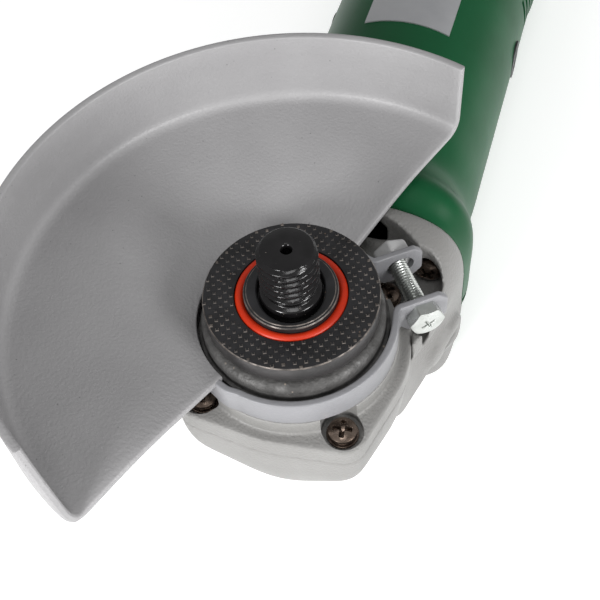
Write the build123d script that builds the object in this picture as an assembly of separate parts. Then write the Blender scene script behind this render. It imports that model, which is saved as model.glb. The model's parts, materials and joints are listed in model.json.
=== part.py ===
from build123d import *

import math
import os

# Angle grinder for 125 mm wheels, without its cord, wheel and side handle.
# Frame in millimetres: the origin is on the spindle axis, in the face that the wheel
# sits on. +Z runs along the spindle towards its free end, +Y towards the rear grip.
# The tool lies on its back, so its spindle points up.

# Spindle and wheel seat
THREAD_R = 6.95
SPINDLE_TOP = 16.6
TIP_CHAMFER = 1.5
CENTRE_HOLE_R = 1.25
SHOULDER_R = 7.4
SHOULDER_TOP = 1.0
THREAD_START = 2.0
FLANGE_R = 20.7
FLANGE_T = 5.3
PILOT_R = 11.1
PILOT_H = 1.8
PILOT_POCKET_R = 8.2
PILOT_POCKET_Z = -1.2
PILOT_ROOT_R = 10.7
GROOVE_R = 12.98
GROOVE_DEPTH = 1.9
O_RING_R = 12.03
O_RING_WIRE = 0.92
COLLAR_R = 9.0
COLLAR_Z = -9.0
BEARING_SEAT_R = 6.0
GEAR_END_Z = -38.4
TAIL_R = 5.0
TAIL_Z = -60.4

# Motor axis and bevel pair, whose cones meet at (0, 0, MOTOR_Z)
MOTOR_Z = -45.0
MODULE = 1.25
GEAR_TEETH = 36
PINION_TEETH = 12
FACE_WIDTH = 7.0
ADDENDUM = 1.1
DEDENDUM = 1.5
TOOTH_SHARE = 0.40
PINION_BORE = 3.2
GEAR_CONE = math.degrees(math.atan(GEAR_TEETH / PINION_TEETH))
LOCK_HOLES = 12
LOCK_PLACE = (-12.0 * math.cos(math.pi / 6), 12.0 * math.sin(math.pi / 6), 0)

# Packing gland and gear case
NECK_TOP = -6.5
NECK_R = 22.0
BAND_SEAT_R = 22.92
BAND_SEAT_TOP = -11.5
STEP_TOP = -17.0
STEP_R = 25.2
PLATE_TOP = -21.5
PLATE_BOTTOM = -27.0
PLATE_R = 28.2
PLATE_CORNER_R = 6.2
GLAND_SCREW_X = 17.5
GLAND_SCREW_Y = 20.2
POCKET_R = 4.6
POCKET_FLOOR = -24.0
EAR_SWEEP_R = 38.5
EAR_SWEEP_Z = -21.0
RECESS_X = 24.4
RECESS_Y = 24.4
RECESS_R = 6.4
RECESS_FLOOR = -26.2
DOME_R = 28.0
DOME_H = 43.0
CHAMBER_R = 23.7
JOINT_Y = 40.0
CASE_HALF_W = 34.5
CASE_HALF_H = 33.5
REST_Z = -78.0
HOUSING_SCREW_X = 26.0
HOUSING_SCREW_Z = 22.0
HOUSING_SCREW_SEAT = 32.7
HANDLE_Y = 25.0
HANDLE_BOSS_X = 36.0
HANDLE_THREAD_R = 3.4
HANDLE_DEPTH = 14.0

# Motor housing and rear cover, along +Y
HOUSING_END = 180.0
COVER_END = 238.0
BARREL_R = 30.9
BARREL_BORE = 28.3
FAN_BORE = 29.5
STATOR_START = 76.0
STATOR_END = 118.0
STATOR_R = 26.0
STATOR_BORE = 16.3
SHOULDER_END = 126.0
BRIDGE_START = 160.0
BRIDGE_END = 168.0
BRUSH_Y = 138.0
COVER_SCREW_X = 15.0

# Guard and its clamp
GUARD_R = 71.1
GUARD_T = 2.1
GUARD_TOP = 15.4
GUARD_PLATE_Z = -5.0
GUARD_CONE_R = 48.0
BAND_R = 23.0
BAND_OUT_R = 25.2
BAND_TOP = -10.0
OPENING_AZ = -21.0
EDGE_SETBACK = 2.7
EAR_AZ = 37.4
EAR_Y = 7.5
EAR_T = 2.0
EAR_REACH = 36.4
EAR_BOTTOM = -20.0
BOLT_X = 29.93
BOLT_Z = -14.0
BOLT_R = 2.5

# Switch and spindle lock
SWITCH_ANGLE = 35.0
SWITCH_Y = 100.0
SWITCH_TRAVEL = 8.0
LOCK_PIN_R = 2.5
LOCK_BUTTON_R = 6.5
LOCK_BUTTON_Z = -71.1
LOCK_BUTTON_H = 4.8
LOCK_POCKET_TOP = -62.0
LOCK_SPRING_SEAT = 2.0

CLEAR = 0.05
BIG = 400.0


def drum(radius, low, high):
    """A cylinder about the local Z axis between two heights."""
    return Pos(0, 0, (low + high) / 2) * Cylinder(radius, high - low)


def ring(outer, inner, low, high):
    return drum(outer, low, high) - drum(inner, low - 1, high + 1)


def block(low, high):
    """A box between two opposite corners."""
    size = [b - a for a, b in zip(low, high)]
    middle = [(a + b) / 2 for a, b in zip(low, high)]
    return Pos(*middle) * Box(*size)


def turned(points):
    """A solid of revolution about Z from its (radius, height) outline."""
    outline = [(r, 0, z) for r, z in points]
    face = make_face(Polyline(*outline, close=True))
    return revolve(face, Axis.Z, 360)


def on_motor(shape):
    """Carries local +Z to +Y on the motor axis; local +y goes to -Z."""
    return Pos(0, 0, MOTOR_Z) * Rot(-90, 0, 0) * shape


def section(y, half_w, half_h, power, centre_z, points=24):
    """A superellipse |x/w|^p + |z/h|^p = 1 in the plane at y."""
    outline = []
    for i in range(points):
        t = 2 * math.pi * i / points
        c, s = math.cos(t), math.sin(t)
        x = half_w * math.copysign(abs(c) ** (2 / power), c)
        z = centre_z + half_h * math.copysign(abs(s) ** (2 / power), s)
        outline.append((x, y, z))
    return make_face(Spline(*outline, periodic=True))


def skin(stations, step=9.0):
    """Lofts superellipse sections; between two stations the sizes ease in and out."""
    sections = []
    for start, end in zip(stations, stations[1:]):
        count = max(1, round((end[0] - start[0]) / step))
        for i in range(count):
            t = i / count
            ease = t * t * (3 - 2 * t)
            y = start[0] + t * (end[0] - start[0])
            sections.append(section(y, *[a + ease * (b - a) for a, b in zip(start[1:], end[1:])]))
    sections.append(section(*stations[-1]))
    return loft(sections)


def gland_screw_places():
    return [(x, y) for x in (-GLAND_SCREW_X, GLAND_SCREW_X) for y in (-GLAND_SCREW_Y, GLAND_SCREW_Y)]


def housing_screw_places():
    return [(x, z) for x in (-HOUSING_SCREW_X, HOUSING_SCREW_X) for z in (-HOUSING_SCREW_Z, HOUSING_SCREW_Z)]


def bearing(bore_r, outer_r, low, high, balls=8):
    """Inner ring, outer ring and balls of a deep-groove bearing about local Z."""
    pitch = (bore_r + outer_r) / 2
    ball_r = (outer_r - bore_r) * 0.29
    wall = (outer_r - bore_r) * 0.3
    middle = (low + high) / 2
    groove = Pos(0, 0, middle) * Torus(pitch, ball_r + CLEAR)
    inner = ring(bore_r + wall, bore_r, low, high) - groove
    outer = ring(outer_r, outer_r - wall, low, high) - groove
    spheres = []
    for i in range(balls):
        spheres.append(Rot(0, 0, 360 * i / balls) * Pos(pitch, 0, middle) * Sphere(ball_r - CLEAR))
    return inner, outer, spheres


def pan_screw(shank_r, length, head_r, head_h):
    """Head upwards from z 0, shank downwards, cross recess in the head."""
    head = drum(head_r, 0, head_h)
    head = fillet(head.edges().group_by(Axis.Z)[-1], head_h * 0.45)
    screw = head + drum(shank_r, -length, 0)
    for angle in (0, 90):
        screw -= Rot(0, 0, angle) * block((-head_r * 0.55, -0.45, head_h * 0.4), (head_r * 0.55, 0.45, 5))
    return screw


# ---- spindle body ----

def make_spindle():
    top = turned([
        (0, COLLAR_Z), (COLLAR_R, COLLAR_Z), (COLLAR_R, -FLANGE_T), (SHOULDER_R, -FLANGE_T),
        (SHOULDER_R, SHOULDER_TOP), (THREAD_R, THREAD_START),
        (THREAD_R, SPINDLE_TOP - TIP_CHAMFER), (THREAD_R - TIP_CHAMFER, SPINDLE_TOP), (0, SPINDLE_TOP),
    ])
    lower = drum(BEARING_SEAT_R, GEAR_END_Z, COLLAR_Z) + drum(TAIL_R, TAIL_Z, GEAR_END_Z)
    centre = drum(CENTRE_HOLE_R, SPINDLE_TOP - 6, SPINDLE_TOP + 1)
    return top + lower - centre


def make_wheel_flange():
    disc = turned([
        (SHOULDER_R, -FLANGE_T), (FLANGE_R, -FLANGE_T), (FLANGE_R, -0.4), (FLANGE_R - 0.4, 0),
        (PILOT_R, 0), (PILOT_R, PILOT_H - 0.4), (PILOT_R - 0.4, PILOT_H),
        (PILOT_POCKET_R, PILOT_H), (PILOT_POCKET_R, PILOT_POCKET_Z), (SHOULDER_R, PILOT_POCKET_Z),
    ])
    return disc - ring(GROOVE_R, PILOT_ROOT_R, -GROOVE_DEPTH, 0)


def make_flange_o_ring():
    return Pos(0, 0, -GROOVE_DEPTH + O_RING_WIRE + 0.02) * Torus(O_RING_R, O_RING_WIRE)


def bevel_tooth(cone_deg, add, ded, share):
    """One straight tooth on a cone about local +Z from the apex at the local origin.

    It points along local +X; its sections shrink in proportion to the apex distance.
    """
    heel = MODULE * GEAR_TEETH / 2 / math.sin(math.radians(GEAR_CONE))
    angle = math.radians(cone_deg)
    faces = []
    for cone in (heel, heel - FACE_WIDTH):
        k = cone / heel
        half = share * math.pi * MODULE / 2 * k
        corners = []
        for depth, width in ((-ded - 0.3, 1.35), (add, 0.5)):
            for side in ((-1, 1) if depth < 0 else (1, -1)):
                r = cone * math.sin(angle) + depth * k * math.cos(angle)
                z = cone * math.cos(angle) - depth * k * math.sin(angle)
                corners.append((r, side * half * width, z))
        faces.append(make_face(Polyline(*corners, close=True)))
    return loft(faces, ruled=True)


def bevel_blank(cone_deg, back, hub_r, bore_r, hub_end):
    """The turned blank below the teeth: root cone between toe and heel."""
    heel = MODULE * GEAR_TEETH / 2 / math.sin(math.radians(GEAR_CONE))
    angle = math.radians(cone_deg)
    outline = []
    for cone in (heel - FACE_WIDTH, heel):
        k = cone / heel
        r = cone * math.sin(angle) - DEDENDUM * k * math.cos(angle)
        z = cone * math.cos(angle) + DEDENDUM * k * math.sin(angle)
        outline.append((r, z))
    (toe_r, toe_z), (heel_r, heel_z) = outline
    return turned([
        (bore_r, toe_z + 0.3), (toe_r, toe_z + 0.3), (heel_r, heel_z), (heel_r, back),
        (hub_r, back), (hub_r, hub_end), (bore_r, hub_end),
    ])


def make_ring_gear():
    blank = bevel_blank(GEAR_CONE, 16.5, 9.3, BEARING_SEAT_R, 25.8)
    tooth = bevel_tooth(GEAR_CONE, ADDENDUM, DEDENDUM, TOOTH_SHARE)
    pitch = 360 / GEAR_TEETH
    gear = blank + [Rot(0, 0, 90 + pitch / 2 + pitch * i) * tooth for i in range(GEAR_TEETH)]
    hole = Pos(math.hypot(*LOCK_PLACE), 0, 8) * Cylinder(LOCK_PIN_R + 0.3, 10)
    gear -= [Rot(0, 0, 360 * i / LOCK_HOLES) * hole
             for i in range(LOCK_HOLES)]
    return Pos(0, 0, MOTOR_Z) * gear


def make_pinion():
    blank = bevel_blank(90 - GEAR_CONE, 24.2, 6.8, PINION_BORE, 25.8)
    tooth = bevel_tooth(90 - GEAR_CONE, ADDENDUM, DEDENDUM, TOOTH_SHARE)
    pinion = blank + [Rot(0, 0, -90 + 360 * i / PINION_TEETH) * tooth for i in range(PINION_TEETH)]
    return on_motor(pinion)


def make_gear_retaining_ring():
    washer = ring(8.2, TAIL_R, GEAR_END_Z - 1.25, GEAR_END_Z - 0.05)
    return washer - block((0, -1.6, -BIG), (20, 1.6, BIG))


# ---- gear head ----

def gland_outline(grow=0.0):
    """Four screw corners joined round the bearing boss."""
    corners = Sketch() + [Pos(x, y) * Circle(PLATE_CORNER_R + grow) for x, y in gland_screw_places()]
    arms = make_hull(corners.edges())
    return arms + Circle(PLATE_R + grow)


def make_packing_gland():
    plate = Pos(0, 0, PLATE_BOTTOM) * extrude(gland_outline(), PLATE_TOP - PLATE_BOTTOM)
    plate = fillet(plate.edges().group_by(Axis.Z)[-1], 0.8)
    neck = drum(NECK_R, STEP_TOP, NECK_TOP)
    neck = fillet(neck.edges().group_by(Axis.Z)[-1], 2.6)
    gland = plate + neck + drum(STEP_R, PLATE_TOP - 0.5, STEP_TOP)
    gland += drum(BAND_SEAT_R, STEP_TOP, BAND_SEAT_TOP)
    gland += drum(CHAMBER_R - CLEAR, PLATE_BOTTOM - 0.8, PLATE_BOTTOM)
    gland -= drum(9.6, -BIG, 0) + drum(12.0, -9.0, -7.5) + drum(16.0, -BIG, -9.0) + drum(20.6, -BIG, -19.0)
    for x, y in gland_screw_places():
        gland -= Pos(x, y, 0) * (drum(POCKET_R, POCKET_FLOOR, STEP_TOP) + drum(2.7, -BIG, 0))
    return gland


def make_gland_screws():
    screw = pan_screw(2.5, 15.0, 3.4, 2.6)
    return [Pos(x, y, POCKET_FLOOR + 0.8) * Rot(0, 0, 25) * screw for x, y in gland_screw_places()]


def make_gland_screw_washers():
    return [Pos(x, y, POCKET_FLOOR) * ring(3.9, 2.6, 0, 0.8) for x, y in gland_screw_places()]


def make_bearing_retainer():
    plate = ring(20.4, 12.6, -21.0, -19.0)
    for i in range(3):
        plate -= Rot(0, 0, 120 * i) * Pos(17.9, 0, 0) * drum(1.3, -BIG, 0)
    return plate


def make_bearing_retainer_screws():
    screw = drum(1.25, -21.0, -19.0) + drum(2.0, -22.2, -21.0)
    return [Rot(0, 0, 120 * i) * Pos(17.9, 0, 0) * screw for i in range(3)]


def make_dust_seal():
    return ring(11.9, COLLAR_R + 0.1, -8.95, -7.5)


def make_needle_bearing():
    shell = ring(7.5, 6.6, TAIL_Z - 0.5, -54.5)
    shell += ring(7.5, 5.2, TAIL_Z - 0.5, TAIL_Z + 0.2) + ring(7.5, 5.4, -55.2, -54.5)
    needles = [Rot(0, 0, 36 * i) * Pos(5.83, 0, 0) * drum(0.72, TAIL_Z + 0.4, -55.5) for i in range(10)]
    return [shell] + needles


def case_skin():
    """Dome about the spindle, screw corners, and the flare back to the housing joint."""
    ellipse = make_face(
        Spline(*[(DOME_R * math.cos(t), 0, PLATE_BOTTOM - DOME_H * math.sin(t))
                 for t in [math.pi / 2 * i / 8 for i in range(9)]])
        + Line((0, 0, PLATE_BOTTOM - DOME_H), (0, 0, PLATE_BOTTOM))
        + Line((0, 0, PLATE_BOTTOM), (DOME_R, 0, PLATE_BOTTOM)))
    dome = revolve(ellipse, Axis.Z, 360)
    corners = Pos(0, 0, PLATE_BOTTOM) * extrude(gland_outline(), 20.0, dir=(0, 0, -1), taper=14)
    flare = skin([
        (-2.0, 26.6, 42.0, 2.0, -27.0), (22.0, 33.4, 33.8, 4.2, MOTOR_Z),
        (JOINT_Y - 8.0, 34.3, CASE_HALF_H, 4.4, MOTOR_Z),
        (JOINT_Y, CASE_HALF_W, CASE_HALF_H, 3.5, MOTOR_Z),
    ])
    flare -= block((-BIG, -BIG, PLATE_BOTTOM), (BIG, 6.0, BIG))
    return dome + corners + flare


def make_gear_case():
    case = case_skin()
    for side in (-1, 1):
        place = Pos(side * 30.0, HANDLE_Y, MOTOR_Z) * Rot(0, 90, 0)
        case += place * Cylinder(8.0, 2 * (HANDLE_BOSS_X - 30.0))
    boss_end = LOCK_BUTTON_Z + 1.2
    case += Pos(*LOCK_PLACE) * turned([(0, boss_end), (8.4, boss_end), (14.5, -44.0), (0, -44.0)])
    # space for the clamp ears, and the seat of the packing gland
    case -= drum(EAR_SWEEP_R, EAR_SWEEP_Z, 60)
    for side in (-1, 1):
        case -= Pos(side * RECESS_X, RECESS_Y, 0) * drum(RECESS_R, RECESS_FLOOR, 60)
    case -= Pos(0, 0, PLATE_BOTTOM) * extrude(gland_outline(0.1), 60)
    # gear chamber, pinion tunnel, bearing seats
    case -= drum(CHAMBER_R, -42.5, 0) + drum(18.0, -53.0, -42.0) + drum(7.52, TAIL_Z - 0.5, -50)
    case -= on_motor(drum(10.0, 0, 30) + drum(13.02, 26.0, BIG) + drum(18.5, 34.0, BIG))
    case -= skin([(36.5, 31.3, 30.3, 3.4, MOTOR_Z), (JOINT_Y + 1, 31.5, 30.5, 3.4, MOTOR_Z)])
    pillar_limit = skin([
        (30.0, 34.0, 33.0, 3.2, MOTOR_Z), (JOINT_Y, CASE_HALF_W, CASE_HALF_H, 3.5, MOTOR_Z),
    ])
    for x, z in housing_screw_places():
        place = Pos(x, 0, MOTOR_Z - z)
        pillar = place * Rot(-90, 0, 0) * drum(5.0, 36.0, JOINT_Y)
        case += pillar & pillar_limit
        case -= place * Rot(-90, 0, 0) * (drum(4.6, 10.0, HOUSING_SCREW_SEAT) + drum(2.3, 10.0, BIG))
    for x, y in gland_screw_places():
        case -= Pos(x, y, 0) * drum(2.52, POCKET_FLOOR - 15.2, 0)
    for side in (-1, 1):
        hole = Pos(side * (HANDLE_BOSS_X - HANDLE_DEPTH / 2), HANDLE_Y, MOTOR_Z) * Rot(0, 90, 0)
        case -= hole * Cylinder(HANDLE_THREAD_R, HANDLE_DEPTH)
    # spindle lock: button pocket and guide hole for its pin
    case -= Pos(*LOCK_PLACE) * drum(LOCK_BUTTON_R + 0.4, -BIG, LOCK_POCKET_TOP)
    case -= Pos(*LOCK_PLACE) * drum(LOCK_PIN_R + CLEAR, -BIG, -40)
    case -= block((-BIG, -BIG, -BIG), (BIG, BIG, REST_Z))
    return case


def make_lock_button():
    top = LOCK_BUTTON_Z + LOCK_BUTTON_H
    cap = drum(LOCK_BUTTON_R, LOCK_BUTTON_Z - 0.6, top)
    cap = fillet(cap.edges().group_by(Axis.Z)[0], 1.0)
    cap -= drum(4.6, LOCK_BUTTON_Z + LOCK_SPRING_SEAT, top + 1)
    cap += drum(3.4, LOCK_BUTTON_Z + 1.9, top)
    cap -= drum(LOCK_PIN_R, LOCK_BUTTON_Z + 2.6, top + 1)
    return Pos(*LOCK_PLACE) * cap


def make_lock_pin():
    return Pos(*LOCK_PLACE) * drum(LOCK_PIN_R, LOCK_BUTTON_Z + 2.6, -39.4)


def make_lock_spring():
    return Pos(*LOCK_PLACE) * ring(4.4, 3.6, LOCK_BUTTON_Z + LOCK_SPRING_SEAT, LOCK_POCKET_TOP)


# ---- motor housing and its contents ----

def housing_skin():
    return skin([
        (JOINT_Y, CASE_HALF_W, CASE_HALF_H, 3.5, MOTOR_Z), (49.0, CASE_HALF_W, CASE_HALF_H, 3.4, MOTOR_Z),
        (66.0, BARREL_R, BARREL_R, 2.0, MOTOR_Z), (162.0, BARREL_R, BARREL_R, 2.0, MOTOR_Z),
        (HOUSING_END, 31.4, 31.8, 2.3, MOTOR_Z),
    ])


def switch_channel(low, high, inner, outer, width):
    """A straight groove along the motor axis, on the switch's side."""
    groove = block((inner, -width / 2, low), (outer, width / 2, high))
    return on_motor(Rot(0, 0, 180 - SWITCH_ANGLE) * groove)


def make_motor_housing():
    shell = housing_skin()
    bores = drum(FAN_BORE, 30, 60) + drum(BARREL_BORE, 59, STATOR_END) + drum(23.2, 100, SHOULDER_END + 1)
    bores += drum(BARREL_BORE, SHOULDER_END, BRIDGE_START) + drum(11.2, 150, BRIDGE_END - 1)
    bores += drum(8.5, 150, BRIDGE_END + 1) + drum(BARREL_BORE, BRIDGE_END, 200)
    shell -= on_motor(bores)
    for i in range(4):
        window = ring(26.0, 15.5, BRIDGE_START - 1, BRIDGE_END + 1)
        window -= Rot(0, 0, 90 * i) * block((-40, -7.5, 0), (40, 7.5, 300))
        shell -= on_motor(window & Rot(0, 0, 90 * i) * block((0, 0, 0), (40, 40, 300)))
    for x in (-COVER_SCREW_X, COVER_SCREW_X):
        shell += on_motor(Pos(x, 0, 0) * drum(4.2, BRIDGE_END, HOUSING_END))
        shell -= on_motor(Pos(x, 0, 0) * drum(1.82, BRIDGE_START + 2, 200))
    for x, z in housing_screw_places():
        shell -= on_motor(Pos(x, z, 0) * drum(2.02, 30, 58))
    for x in (-21.8, 21.8):
        shell -= on_motor(Pos(x, 0, 0) * drum(1.52, 100, SHOULDER_END - 1))
    shell -= on_motor(Pos(0, 0, BRUSH_Y) * Rot(0, 90, 0) * Cylinder(6.02, BIG))
    for height in (11.0, 16.0, 21.0):
        shell -= block((-BIG, 44.0, MOTOR_Z - height - 1.3), (BIG, 54.0, MOTOR_Z - height + 1.3))
    for step in range(5):
        y = 154.0 + 4.4 * step
        shell -= block((-BIG, y, MOTOR_Z - 10.0), (-24.0, y + 2.0, MOTOR_Z + 10.0))
        shell -= block((24.0, y, MOTOR_Z - 10.0), (BIG, y + 2.0, MOTOR_Z + 10.0))
    shell -= switch_channel(70.0, 190.0, 26.2, BARREL_BORE, 7.8)
    shell -= switch_channel(SWITCH_Y - SWITCH_TRAVEL - 6.4, SWITCH_Y + 6.4, 24.0, 40.0, 6.8)
    shell -= block((-BIG, -BIG, -BIG), (BIG, BIG, REST_Z))
    return shell


def make_housing_screws():
    screw = pan_screw(2.0, 24.0, 3.5, 2.5)
    return [Pos(x, HOUSING_SCREW_SEAT - 0.7, MOTOR_Z - z) * Rot(90, 0, 0) * Rot(0, 0, 35) * screw
            for x, z in housing_screw_places()]


def make_housing_screw_washers():
    washer = ring(4.0, 2.1, HOUSING_SCREW_SEAT - 0.7, HOUSING_SCREW_SEAT)
    return [Pos(x, 0, MOTOR_Z - z) * Rot(-90, 0, 0) * washer for x, z in housing_screw_places()]


def make_front_bearing_plate():
    return on_motor(ring(18.4, 7.2, 34.0, 36.0))


def make_fan_baffle():
    return on_motor(ring(29.4, 17.5, 56.0, 58.0) + ring(18.9, 17.5, 58.0, 64.0))


def make_stator_core():
    core = ring(STATOR_R, STATOR_BORE, STATOR_START, STATOR_END)
    core -= block((24.6, -40, 0), (40, 40, 300)) + block((-40, -40, 0), (-24.6, 40, 300))
    for angle in (33, 147, 213, 327):
        core -= Rot(0, 0, angle) * Pos(20.2, 0, 0) * drum(2.7, 0, 300)
    for x in (-21.8, 21.8):
        core -= Pos(x, 0, 0) * drum(1.52, 0, 300)
    return on_motor(core)


def make_field_coils():
    coils = []
    for start in (33, 213):
        coil = None
        for low, high in ((STATOR_START - 6, STATOR_START), (STATOR_END, STATOR_END + 6)):
            arc = ring(22.8, 17.6, low, high)
            arc &= Rot(0, 0, start + 57) * block((11.0, -40, 0), (40, 40, 300))
            coil = arc if coil is None else coil + arc
        for angle in (start, start + 114):
            coil += Rot(0, 0, angle) * Pos(20.2, 0, 0) * drum(2.6, STATOR_START - 6, STATOR_END + 6)
        coils.append(on_motor(coil))
    return coils


def make_stator_screws():
    screw = drum(1.5, STATOR_START, SHOULDER_END - 2) + drum(2.7, STATOR_START - 2, STATOR_START)
    return [on_motor(Pos(x, 0, 0) * screw) for x in (-21.8, 21.8)]


def make_armature_shaft():
    steps = [
        (3.0, 9.6, 14.9), (PINION_BORE, 14.9, 25.8), (5.0, 25.8, 64.0),
        (5.5, 64.0, 130.0), (4.2, 130.0, 163.0), (3.5, 163.0, 171.0),
    ]
    shaft = Part() + [drum(r, low, high) for r, low, high in steps]
    return on_motor(shaft)


def make_pinion_nut():
    nut = Pos(0, 0, 10.6) * extrude(RegularPolygon(4.9, 6), 4.1)
    return on_motor(nut - drum(3.0, 0, 30))


def make_armature_core():
    core = ring(15.8, 5.5, STATOR_START, STATOR_END)
    for i in range(12):
        core -= Rot(0, 0, 30 * i) * block((13.0, -0.9, 0), (17, 0.9, 300))
    return on_motor(core)


def make_armature_windings():
    coils = ring(14.4, 5.5, STATOR_START - 9.5, STATOR_START) + ring(14.4, 5.5, STATOR_END, STATOR_END + 9.5)
    coils = fillet(coils.edges().filter_by(GeomType.CIRCLE).filter_by(lambda e: e.radius > 14), 2.5)
    for i in range(12):
        coils += Rot(0, 0, 30 * i) * block((13.05, -0.85, STATOR_START), (14.3, 0.85, STATOR_END))
    return on_motor(coils)


def make_commutator():
    drum_part = ring(11.0, 4.2, 130.0, 146.0) + ring(12.4, 5.5, 128.2, 130.0)
    for i in range(24):
        drum_part -= Rot(0, 0, 15 * i + 7.5) * block((10.0, -0.2, 130.6), (13, 0.2, 147))
    return on_motor(drum_part)


def make_fan():
    fan = ring(8.0, 5.0, 44.0, 55.0) + ring(26.5, 7.9, 44.0, 45.5)
    blade = block((0, -0.6, 45.4), (15.6, 0.6, 54.5))
    for i in range(17):
        fan += Rot(0, 0, 360 * i / 17) * Pos(10, 0, 0) * Rot(0, 0, 28) * blade
    return on_motor(fan & drum(26.5, 0, 100))


def make_rear_bearing_sleeve():
    return on_motor(ring(11.2, 9.52, BRIDGE_START + 0.2, BRIDGE_END - 1))


def brush_pair(shape):
    """Copies a shape drawn along local +X to both sides of the commutator."""
    return [Pos(0, BRUSH_Y, MOTOR_Z) * Rot(0, 0, angle) * shape for angle in (0, 180)]


def make_brush_holders():
    tube = block((13.0, -4.6, -6.1), (27.4, 4.6, 6.1)) - block((12.0, -3.6, -5.1), (28.0, 3.6, 5.1))
    return brush_pair(tube & Rot(0, 90, 0) * drum(27.0, 0, 28.0) & on_barrel_bore())


def on_barrel_bore():
    """The bore of the barrel, as seen from the brush centre."""
    return Rot(-90, 0, 0) * drum(BARREL_BORE - 0.1, -20, 20)


def make_carbon_brushes():
    return brush_pair(block((11.15, -3.5, -5.0), (21.0, 3.5, 5.0)))


def make_brush_springs():
    return brush_pair(Rot(0, 90, 0) * ring(3.2, 2.4, 21.0, 26.4))


def make_brush_caps():
    cap = Rot(0, 90, 0) * (drum(6.0, 28.4, 31.0) + drum(3.4, 26.4, 28.5))
    return brush_pair(cap - block((29.8, -0.7, -4.5), (40, 0.7, 4.5)))


def cover_skin(inset=0.0):
    end = COVER_END - inset
    return skin([
        (HOUSING_END, 31.4 - inset, 31.8 - inset, 2.3, MOTOR_Z),
        (204.0, 31.4 - inset, 33.4 - inset, 2.8, MOTOR_Z), (222.0, 31.0 - inset, 33.4 - inset, 2.8, MOTOR_Z),
        (end + 9.0, 20.0 - inset, 25.0 - inset, 2.5, MOTOR_Z),
    ]) - block((-BIG, end, -BIG), (BIG, BIG, BIG))


def make_rear_cover():
    cover = cover_skin() - cover_skin(2.6)
    cover -= block((-BIG, 0, -BIG), (BIG, HOUSING_END, BIG))
    for x in (-COVER_SCREW_X, COVER_SCREW_X):
        column = on_motor(Pos(x, 0, 0) * drum(4.2, HOUSING_END, COVER_END - 1.0))
        cover += column
        cover -= on_motor(Pos(x, 0, 0) * (drum(2.1, 100, 300) + drum(3.6, 222.0, 300)))
    cover -= on_motor(drum(7.0, 220, 300))
    cover -= block((-BIG, -BIG, -BIG), (BIG, BIG, REST_Z))
    return cover


def make_rear_cover_screws():
    screw = pan_screw(1.8, 56.0, 3.3, 2.4)
    return [on_motor(Pos(x, 0, 222.0) * screw) for x in (-COVER_SCREW_X, COVER_SCREW_X)]


def make_cord_inlet_bush():
    bush = ring(9.2, 4.2, 238.0, 240.5) + ring(6.95, 4.2, 233.0, 238.0)
    return on_motor(bush + ring(8.6, 4.2, 230.6, 233.4))


def make_switch_body():
    body = block((-9.0, -20.0, 186.0), (9.0, 6.0, 214.0))
    return on_motor(fillet(body.edges(), 0.8))


def make_terminal_block():
    block_part = block((-8.0, 8.0, 186.0), (8.0, 18.0, 200.0))
    for x in (-4.0, 4.0):
        block_part -= Pos(x, 13.0, 0) * drum(1.5, 180, 197)
    return on_motor(block_part)


def make_capacitor():
    return on_motor(fillet(block((-8.0, 8.0, 203.0), (8.0, 17.0, 219.0)).edges(), 1.0))


def make_nameplate():
    plate = ring(BARREL_R + 0.45, BARREL_R + 0.05, 112.0, 146.0)
    return on_motor(plate & Rot(0, 0, -90) * block((0, -13.0, 0), (60, 13.0, 300)))


# ---- switch ----

def make_switch_knob():
    pad = ring(34.4, BARREL_R + 0.35, SWITCH_Y - 12.0, SWITCH_Y + 12.0) & block((0, -7.5, 0), (60, 7.5, 300))
    for i in range(5):
        pad -= block((33.7, -9, SWITCH_Y - 8.6 + 4 * i), (40, 9, SWITCH_Y - 7.4 + 4 * i))
    stem = block((27.9, -3.0, SWITCH_Y - 6.0), (32.5, 3.0, SWITCH_Y + 6.0))
    return on_motor(Rot(0, 0, 180 - SWITCH_ANGLE) * (pad + stem))


def make_switch_lever():
    bar = block((26.5, -3.5, SWITCH_Y - 6.0), (27.9, 3.5, 185.0))
    return on_motor(Rot(0, 0, 180 - SWITCH_ANGLE) * bar)


# ---- guard ----

def guard_cutter():
    """Everything on the open side of the half guard, with the slant of the skirt's end."""
    open_side = block((0, 0, -60), (200, 200, 60)) + block((-EDGE_SETBACK, -200, -60), (200, 0, 60))
    slant = make_face(Polyline((-EDGE_SETBACK, 0, GUARD_PLATE_Z), (-12.3, 0, GUARD_TOP + 0.1),
                               (10, 0, GUARD_TOP + 0.1), (10, 0, GUARD_PLATE_Z), close=True))
    wedge = Pos(0, -80, 0) * extrude(slant, 18, dir=(0, 1, 0))
    return Rot(0, 0, OPENING_AZ) * (open_side + wedge)


def make_guard_shell():
    inner_r, skirt_r = BAND_OUT_R + 0.02, GUARD_R - GUARD_T
    low = GUARD_PLATE_Z - 2.0
    outline = make_face(Polyline(
        (inner_r, 0, BAND_TOP), (GUARD_CONE_R, 0, GUARD_PLATE_Z), (skirt_r, 0, GUARD_PLATE_Z),
        (skirt_r, 0, GUARD_TOP), (GUARD_R, 0, GUARD_TOP), (GUARD_R, 0, low),
        (GUARD_CONE_R + 0.2, 0, low), (inner_r, 0, BAND_TOP - 2.05), close=True))
    corner = [v for v in outline.vertices() if abs(v.X - skirt_r) < 0.01 and v.Z < 0]
    outline = fillet(corner, 2.5)
    corner = [v for v in outline.vertices() if abs(v.X - GUARD_R) < 0.01 and v.Z < 0]
    outline = fillet(corner, 4.5)
    corner = [v for v in outline.vertices() if abs(v.X - GUARD_CONE_R) < 0.3]
    outline = fillet(corner, 12.0)
    return revolve(outline, Axis.Z, 360) - guard_cutter()


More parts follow.
